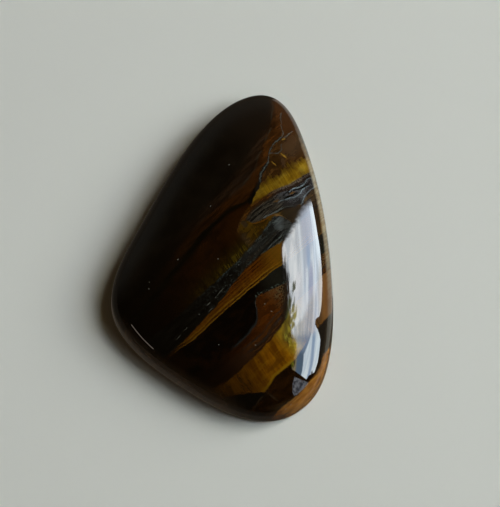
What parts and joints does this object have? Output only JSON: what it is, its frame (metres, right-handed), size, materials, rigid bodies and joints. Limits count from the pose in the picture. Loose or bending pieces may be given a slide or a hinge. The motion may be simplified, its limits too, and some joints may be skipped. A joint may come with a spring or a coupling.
{
  "type": "polished tiger's eye cabochon",
  "caption": "Polished freeform tiger's eye cabochon: leaning three-cornered outline, domed top, rounded shoulder, steep wall and flat back to rest on or set in jewellery.",
  "frame": {"origin": "middle of the stone's box in plan, on the plane of the flat back", "axes": "+Z out of the back towards the crown of the dome, +Y along the length towards the narrow tip, +X across the width"},
  "size_m": [0.0272, 0.0424, 0.0066],
  "materials": {
    "tigers_eye": "mirror-polished chatoyant quartz in parallel layers of black, red-brown and silky gold, with wavy steel-blue iron oxide seams"
  },
  "bodies": {
    "root": {"tigers_eye_stone": "tigers_eye"}
  },
  "joints": []
}
